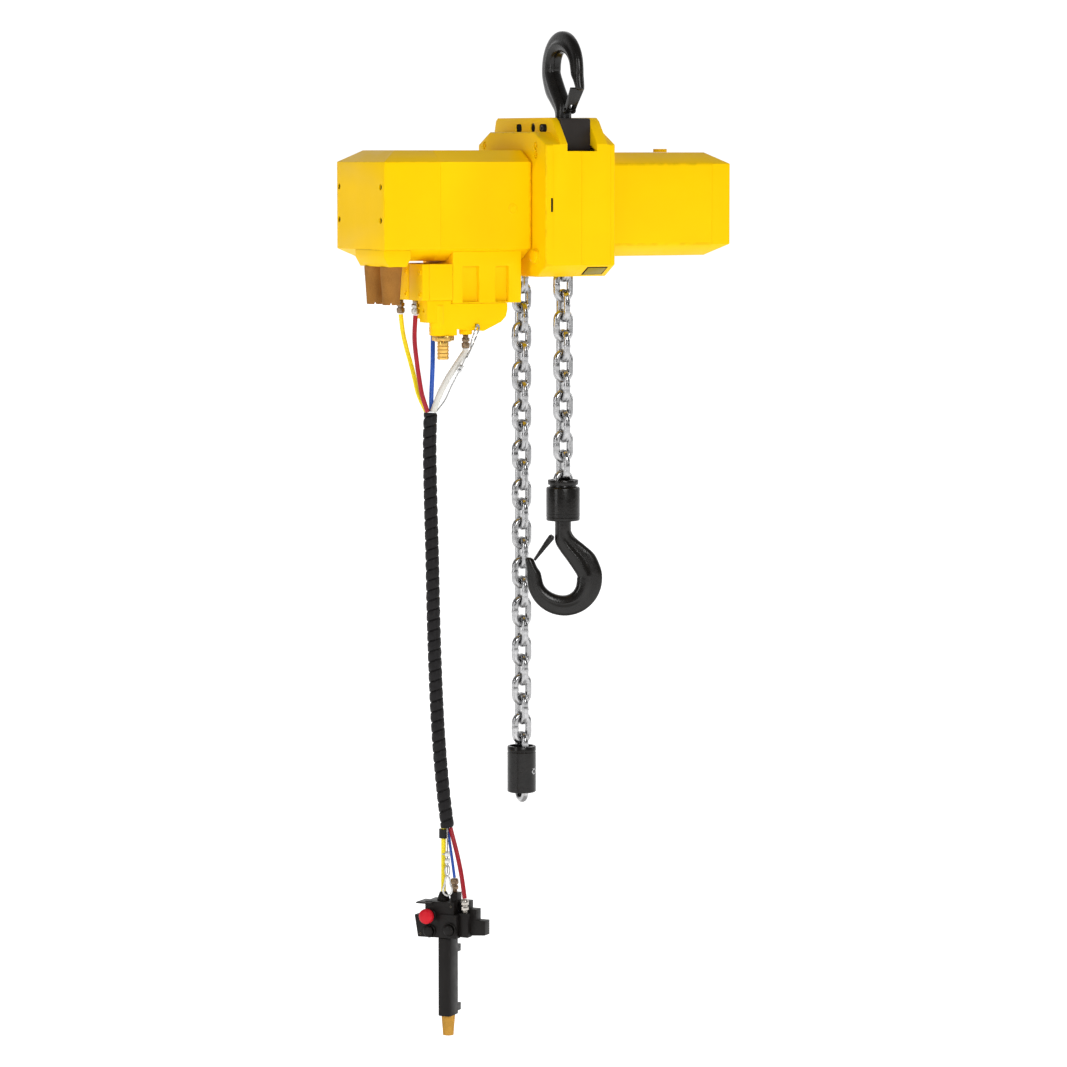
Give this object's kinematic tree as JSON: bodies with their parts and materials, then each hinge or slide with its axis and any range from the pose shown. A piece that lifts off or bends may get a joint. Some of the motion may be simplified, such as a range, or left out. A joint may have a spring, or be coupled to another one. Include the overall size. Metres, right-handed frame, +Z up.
{
  "type": "chain hoist",
  "caption": "Compressed-air chain hoist with swivel suspension hook, load hook on a link chain, chain stop, exhaust silencers and a hose-fed pendant control.",
  "frame": {"origin": "seat of the suspension hook, on the vertical load line", "axes": "+X along the body from the motor to the gear end, +Y from the load chain to the slack chain, +Z up"},
  "size_m": [0.724, 0.264, 1.851],
  "materials": {
    "yellow_paint": "glossy two-pack enamel on cast metal",
    "black_steel": "black enamelled forged steel",
    "bright_steel": "bright zinc-plated steel",
    "machined_steel": "machined steel",
    "black_plastic": "black moulded plastic, satin",
    "nickel": "nickel-plated brass",
    "brass": "polished brass",
    "sintered_bronze": "sintered bronze, matte",
    "red_button": "red moulded plastic",
    "hose_yellow": "extruded tube, satin",
    "hose_red": "extruded tube, satin",
    "hose_blue": "extruded tube, satin",
    "hose_white": "extruded tube, satin",
    "sleeve": "black spiral wrap"
  },
  "bodies": {
    "frame": {"centre_housing_left": "yellow_paint", "centre_housing_right": "yellow_paint", "motor_flange": "yellow_paint", "gear_flange": "yellow_paint", "motor_housing": "yellow_paint", "motor_end_cover": "yellow_paint", "gear_housing": "yellow_paint", "gear_end_cap": "yellow_paint", "oil_plug": "yellow_paint", "suspension_bracket": "black_plastic", "suspension_pin": "bright_steel", "exhaust_manifold": "yellow_paint", "silencer_front": "sintered_bronze", "silencer_rear": "sintered_bronze", "valve_casing": "yellow_paint", "valve_lower_casing": "yellow_paint", "pilot_block_front": "yellow_paint", "pilot_block_rear": "yellow_paint", "inlet_barb": "brass", "fitting_yellow": "nickel", "fitting_red": "nickel", "fitting_blue": "nickel", "fitting_white": "nickel", "motor_cylinder": "machined_steel", "planetary_cartridge": "machined_steel", "hose_yellow_upper": "hose_yellow", "hose_red_upper": "hose_red", "hose_blue_upper": "hose_blue", "hose_white_upper": "hose_white", "strain_wire_upper": "bright_steel"},
    "top_hook": {"top_hook": "black_steel"},
    "top_latch": {"top_latch": "black_steel"},
    "load_line": {"load_chain": "bright_steel", "hook_block": "black_steel", "hook_block_cap": "black_steel"},
    "load_hook": {"load_hook": "black_steel"},
    "load_latch": {"load_latch": "black_steel"},
    "slack_line": {"slack_chain": "bright_steel", "chain_stop": "black_steel", "stop_screw": "bright_steel"},
    "load_wheel": {"load_wheel": "machined_steel", "wheel_chain": "bright_steel"},
    "motor_rotor": {"rotor_shaft": "machined_steel", "brake_disc": "machined_steel"},
    "pendant": {"pendant_head": "black_plastic", "pendant_valve_block": "black_plastic", "pendant_grip": "black_plastic", "pendant_hose_boot": "black_plastic", "pendant_silencer": "sintered_bronze", "pendant_red_fitting": "nickel", "pendant_blue_fitting": "nickel", "hose_sleeve": "sleeve", "hose_yellow_lower": "hose_yellow", "hose_red_lower": "hose_red", "hose_blue_lower": "hose_blue", "strain_wire_lower": "bright_steel", "snap_hook": "bright_steel"},
    "emergency_stop": {"emergency_stop": "red_button"},
    "up_button": {"up_button": "black_plastic"},
    "down_button": {"down_button": "black_plastic"}
  },
  "joints": [
    {"name": "top_hook_swivel", "type": "hinge", "parent": "frame", "child": "top_hook", "pos_m": [0, 0, -0.12], "axis": [0, 0, 1], "continuous": true},
    {"name": "top_latch_hinge", "type": "hinge", "parent": "top_hook", "child": "top_latch", "pos_m": [0, -0.0225, -0.10669], "axis": [-1, 0, 0], "range_deg": [0, 40], "stiffness_Nm_per_rad": 0.5, "springref_deg": -17.19},
    {"name": "load_lift", "type": "slide", "parent": "frame", "child": "load_line", "axis": [0, 0, 1], "range_m": [-0.115, 0.08], "deforming": ["load_chain", "wheel_chain"]},
    {"name": "load_hook_swivel", "type": "hinge", "parent": "load_line", "child": "load_hook", "pos_m": [0, 0, -0.863], "axis": [0, 0, 1], "continuous": true},
    {"name": "load_latch_hinge", "type": "hinge", "parent": "load_hook", "child": "load_latch", "pos_m": [-0.01977, 0.01074, -0.896], "axis": [-0.4772, -0.8788, 0], "range_deg": [0, 40], "stiffness_Nm_per_rad": 0.5, "springref_deg": -17.19},
    {"name": "slack_run", "type": "slide", "parent": "frame", "child": "slack_line", "axis": [0, 0, 1], "range_m": [-0.12, 0.12], "deforming": ["slack_chain"]},
    {"name": "load_wheel_turn", "type": "hinge", "parent": "frame", "child": "load_wheel", "pos_m": [0, 0.081, -0.2795], "axis": [1, 0, 0], "range_deg": [-60, 85], "deforming": ["wheel_chain"]},
    {"name": "motor_turn", "type": "hinge", "parent": "frame", "child": "motor_rotor", "pos_m": [0, 0.081, -0.2795], "axis": [1, 0, 0], "range_deg": [-288, 413]},
    {"name": "pendant_swing", "type": "hinge", "parent": "frame", "child": "pendant", "pos_m": [-0.188, 0.025, -0.497], "axis": [1, 0, 0], "range_deg": [-20, 20], "deforming": ["hose_yellow_upper", "hose_red_upper", "hose_blue_upper", "hose_white_upper", "strain_wire_upper"]},
    {"name": "emergency_stop_push", "type": "slide", "parent": "pendant", "child": "emergency_stop", "axis": [0.8039, 0.5948, 0], "range_m": [0, 0.006]},
    {"name": "up_button_push", "type": "slide", "parent": "pendant", "child": "up_button", "axis": [0.8039, 0.5948, 0], "range_m": [0, 0.004], "stiffness_N_per_m": 400, "springref_m": -0.002},
    {"name": "down_button_push", "type": "slide", "parent": "pendant", "child": "down_button", "axis": [0.8039, 0.5948, 0], "range_m": [0, 0.004], "stiffness_N_per_m": 400, "springref_m": -0.002}
  ],
  "couplings": [
    {"joint": "slack_run", "follows": "load_lift", "ratio": -1},
    {"joint": "load_wheel_turn", "follows": "load_lift", "rad_per_m": -12.467},
    {"joint": "motor_turn", "follows": "load_lift", "rad_per_m": -62.333}
  ]
}
